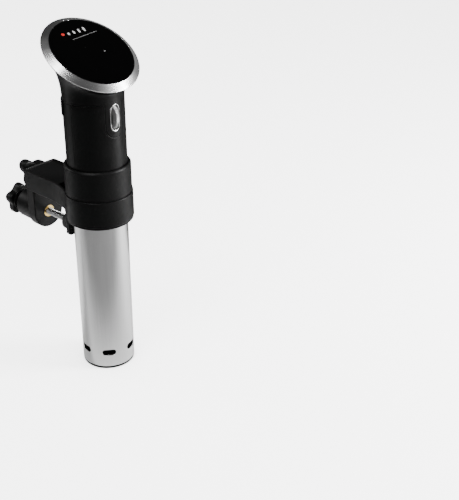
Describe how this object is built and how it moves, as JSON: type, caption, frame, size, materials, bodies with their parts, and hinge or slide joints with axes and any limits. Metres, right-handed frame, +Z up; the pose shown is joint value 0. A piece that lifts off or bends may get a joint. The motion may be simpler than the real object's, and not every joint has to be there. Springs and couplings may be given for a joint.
{
  "type": "sous vide circulator",
  "caption": "Upright immersion heater and pump with a slanted round display, a scroll wheel, a removable steel skirt and a sliding, turning pot clamp with two screw knobs.",
  "frame": {"origin": "middle of the base cap's flat underside, on the body's axis", "axes": "+Z up the body; the display and the wheel face -Y; the clamp arm points to +Y at rest"},
  "size_m": [0.0996, 0.1876, 0.3753],
  "materials": {
    "black_plastic": "fine satin moulded texture",
    "clamp_plastic": "fine satin moulded texture, a little lighter than the body",
    "brushed_bezel": "satin turned",
    "display_glass": "black gloss, opaque",
    "seal_rubber": "matte",
    "seal_ring_red": "matte silicone",
    "circuit_board": "solder mask",
    "connector_plastic": "natural nylon",
    "chrome_trim": "polished",
    "silver_wheel": "silver-grey, fine ribs",
    "bright_steel": "drawn",
    "inner_plastic": "glass-filled nylon",
    "capacitor_sleeve": "printed sleeve without lettering",
    "transformer_tape": "tape",
    "bare_aluminium": "extruded",
    "motor_steel": "zinc plated",
    "copper_rotor": "varnished winding",
    "bearing_plastic": "acetal",
    "heater_sheath": "heat tinted",
    "brushed_skirt": "brushed along the axis",
    "pad_rubber": "ribbed",
    "brass_insert": "turned"
  },
  "bodies": {
    "housing": {"head_shell": "black_plastic", "bezel_ring": "brushed_bezel", "glass_gasket": "seal_rubber", "display_glass": "display_glass", "display_board": "circuit_board", "ribbon_plug": "connector_plastic", "body_front_shell": "black_plastic", "body_rear_shell": "black_plastic", "rear_vent": "black_plastic", "cord_inlet": "seal_rubber", "wheel_trim": "chrome_trim", "wheel_bracket": "inner_plastic", "wheel_encoder": "connector_plastic", "chassis": "inner_plastic", "main_board": "circuit_board", "capacitors": "capacitor_sleeve", "transformer": "transformer_tape", "heat_sink": "bare_aluminium", "beeper": "black_plastic", "motor_can": "motor_steel", "motor_bearing": "bright_steel", "motor_mount": "inner_plastic", "bulkhead": "inner_plastic", "bulkhead_screws": "bright_steel", "shaft_seal": "seal_rubber", "skirt_seal": "seal_ring_red", "shaft_tube": "bright_steel", "shaft_bush": "bearing_plastic", "pump_plate": "inner_plastic", "heater_element": "heater_sheath", "level_rods": "bright_steel", "temperature_probe": "bright_steel"},
    "pump": {"rotor": "copper_rotor", "drive_shaft": "bright_steel", "cooling_fan": "inner_plastic", "impeller": "inner_plastic"},
    "wheel": {"scroll_wheel": "silver_wheel", "wheel_axle": "bright_steel"},
    "skirt": {"skirt": "brushed_skirt"},
    "base_cap": {"base_cap": "black_plastic"},
    "collar": {"clamp_collar": "clamp_plastic", "collar_snap_ring": "clamp_plastic"},
    "bracket": {"clamp_bracket": "clamp_plastic", "jaw_pad": "pad_rubber", "pot_insert": "brass_insert", "lock_insert": "brass_insert"},
    "pot_pad": {"pot_pad": "pad_rubber"},
    "pot_screw": {"pot_screw": "bright_steel", "pot_knob": "clamp_plastic"},
    "lock_pad": {"lock_pad": "pad_rubber"},
    "lock_screw": {"lock_screw": "bright_steel", "lock_knob": "clamp_plastic"}
  },
  "joints": [
    {"name": "pump_spin", "type": "hinge", "parent": "housing", "child": "pump", "pos_m": [0, 0, 0.2], "axis": [0, 0, 1], "continuous": true},
    {"name": "wheel_spin", "type": "hinge", "parent": "housing", "child": "wheel", "pos_m": [0, -0.018, 0.2912], "axis": [1, 0, 0], "continuous": true},
    {"name": "skirt_pull", "type": "slide", "parent": "housing", "child": "skirt", "axis": [0, 0, -1], "range_m": [0, 0.17]},
    {"name": "base_cap_turn", "type": "hinge", "parent": "skirt", "child": "base_cap", "pos_m": [0, 0, 0], "axis": [0, 0, 1], "continuous": true},
    {"name": "collar_height", "type": "slide", "parent": "housing", "child": "collar", "axis": [0, 0, 1], "range_m": [0, 0.034]},
    {"name": "bracket_turn", "type": "hinge", "parent": "collar", "child": "bracket", "pos_m": [0, 0, 0.1773], "axis": [0, 0, 1], "continuous": true},
    {"name": "pot_screw_travel", "type": "slide", "parent": "bracket", "child": "pot_pad", "axis": [0, -1, 0], "range_m": [-0.03, 0.0045]},
    {"name": "pot_knob_turn", "type": "hinge", "parent": "pot_pad", "child": "pot_screw", "pos_m": [0, 0.0481, 0.1529], "axis": [0, -1, 0], "range_deg": [-8641, 1297]},
    {"name": "lock_screw_travel", "type": "slide", "parent": "bracket", "child": "lock_pad", "axis": [0, 1, 0], "range_m": [0, 0.004]},
    {"name": "lock_knob_turn", "type": "hinge", "parent": "lock_pad", "child": "lock_screw", "pos_m": [0, 0.0333, 0.1944], "axis": [0, -1, 0], "range_deg": [-1441, 1]}
  ],
  "couplings": [
    {"joint": "pot_knob_turn", "follows": "pot_screw_travel", "rad_per_m": 5026.5},
    {"joint": "lock_knob_turn", "follows": "lock_screw_travel", "rad_per_m": -6283.2}
  ]
}
